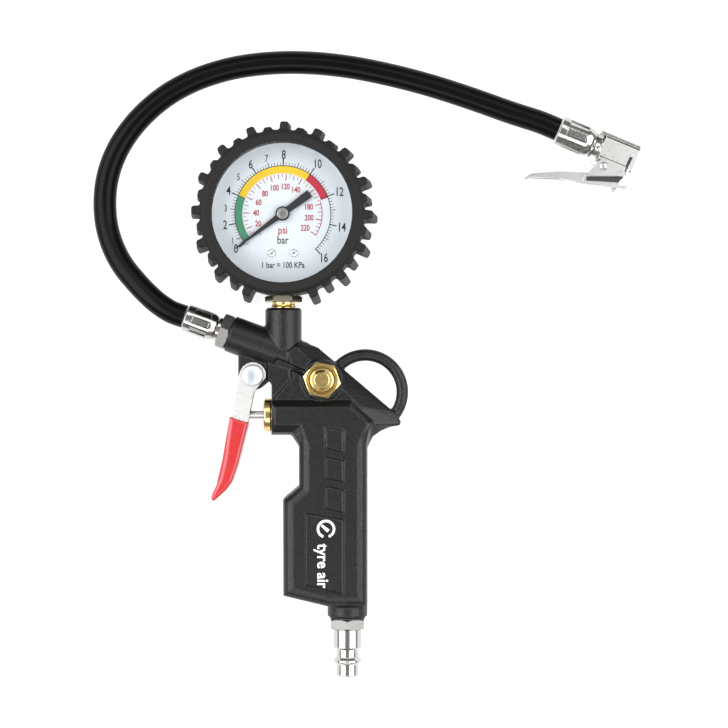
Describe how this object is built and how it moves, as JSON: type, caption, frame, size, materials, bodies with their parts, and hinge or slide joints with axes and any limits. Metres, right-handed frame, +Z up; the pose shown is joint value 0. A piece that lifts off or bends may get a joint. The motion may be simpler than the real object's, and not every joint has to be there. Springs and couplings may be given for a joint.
{
  "type": "tyre inflator with gauge",
  "caption": "Hand-held tyre inflator: pistol casting with squeeze lever, dial gauge in a toothed rubber boot, deflate button, quick-connect plug and a short hose with a clip-on chuck.",
  "frame": {"origin": "middle of the gun's outline, on the surface that the inflator lies on", "axes": "+Y up the grip towards the gauge, +X from the lever towards the hanging loop, +Z up out of the side that faces the viewer"},
  "size_m": [0.2367, 0.2699, 0.034],
  "materials": {
    "casting": "satin black powder coat with a fine grain",
    "boot": "matt",
    "hose": "smooth, semi-gloss",
    "seal": "matt",
    "steel": "zinc plated",
    "nickel": "nickel plated, bright",
    "brass": "turned, bright",
    "sleeve": "glossy red",
    "dial": "printed white",
    "pointer": "black",
    "window": "clear"
  },
  "bodies": {
    "gun": {"gun_body": "casting", "hanging_loop": "casting", "lever_pivot_pin": "steel", "gland_nut": "brass", "gland_oring": "seal", "valve_seat": "brass", "valve_spring": "steel", "bleed_housing": "brass", "bleed_spring": "steel", "inlet_plug": "nickel", "inlet_washer": "seal", "inlet_filter": "brass", "gauge_boot": "boot", "gauge_case": "steel", "gauge_bezel": "steel", "gauge_window": "window", "gauge_dial": "dial", "dial_screw_left": "steel", "dial_screw_right": "steel", "zero_stop_pin": "steel", "movement_plate_back": "brass", "movement_plate_front": "brass", "movement_pillar_a": "brass", "movement_pillar_b": "brass", "movement_pillar_c": "brass", "bourdon_tube": "brass", "gauge_socket": "brass", "hose_fitting": "nickel", "ferrule_gun": "nickel", "hose": "hose", "ferrule_chuck": "nickel", "chuck_body": "nickel", "chuck_shell": "steel", "chuck_gasket": "seal", "chuck_core_pin": "steel", "chuck_lever_pin": "steel", "chuck_spring": "steel"},
    "squeeze_lever": {"lever": "steel", "lever_sleeve": "sleeve"},
    "main_valve": {"valve_pin": "steel", "valve_poppet": "brass"},
    "deflate_button": {"bleed_button": "brass", "bleed_seal": "seal"},
    "gauge_hand": {"pointer": "pointer", "pointer_hub": "steel", "pinion_arbor": "steel", "hairspring": "brass"},
    "gauge_sector": {"sector_gear": "brass", "sector_arbor": "steel"},
    "thumb_lever": {"chuck_lever": "steel"}
  },
  "joints": [
    {"name": "lever_squeeze", "type": "hinge", "parent": "gun", "child": "squeeze_lever", "pos_m": [-0.01767, 0.01046, 0.014], "axis": [0, 0, 1], "range_deg": [0, 12], "stiffness_Nm_per_rad": 0.4},
    {"name": "valve_slide", "type": "slide", "parent": "gun", "child": "main_valve", "axis": [1, 0, 0], "range_m": [0, 0.0036], "deforming": ["valve_spring"]},
    {"name": "bleed_press", "type": "slide", "parent": "gun", "child": "deflate_button", "axis": [0, 0, -1], "range_m": [0, 0.002], "stiffness_N_per_m": 600, "deforming": ["bleed_spring"]},
    {"name": "pointer_turn", "type": "hinge", "parent": "gun", "child": "gauge_hand", "pos_m": [-0.00477, 0.07926, 0.0236], "axis": [0, 0, -1], "range_deg": [0, 263], "stiffness_Nm_per_rad": 0.0002, "deforming": ["hairspring"]},
    {"name": "sector_swing", "type": "hinge", "parent": "gun", "child": "gauge_sector", "pos_m": [-0.00477, 0.06676, 0.0155], "axis": [0, 0, -1], "range_deg": [-29.5, 0]},
    {"name": "chuck_thumb", "type": "hinge", "parent": "gun", "child": "thumb_lever", "pos_m": [0.13294, 0.10032, 0.008], "axis": [0, 0, -1], "range_deg": [0, 14], "stiffness_Nm_per_rad": 0.2, "deforming": ["chuck_spring"]}
  ],
  "couplings": [
    {"joint": "valve_slide", "follows": "lever_squeeze", "m_per_rad": 0.0171},
    {"joint": "sector_swing", "follows": "pointer_turn", "ratio": -0.1111}
  ]
}
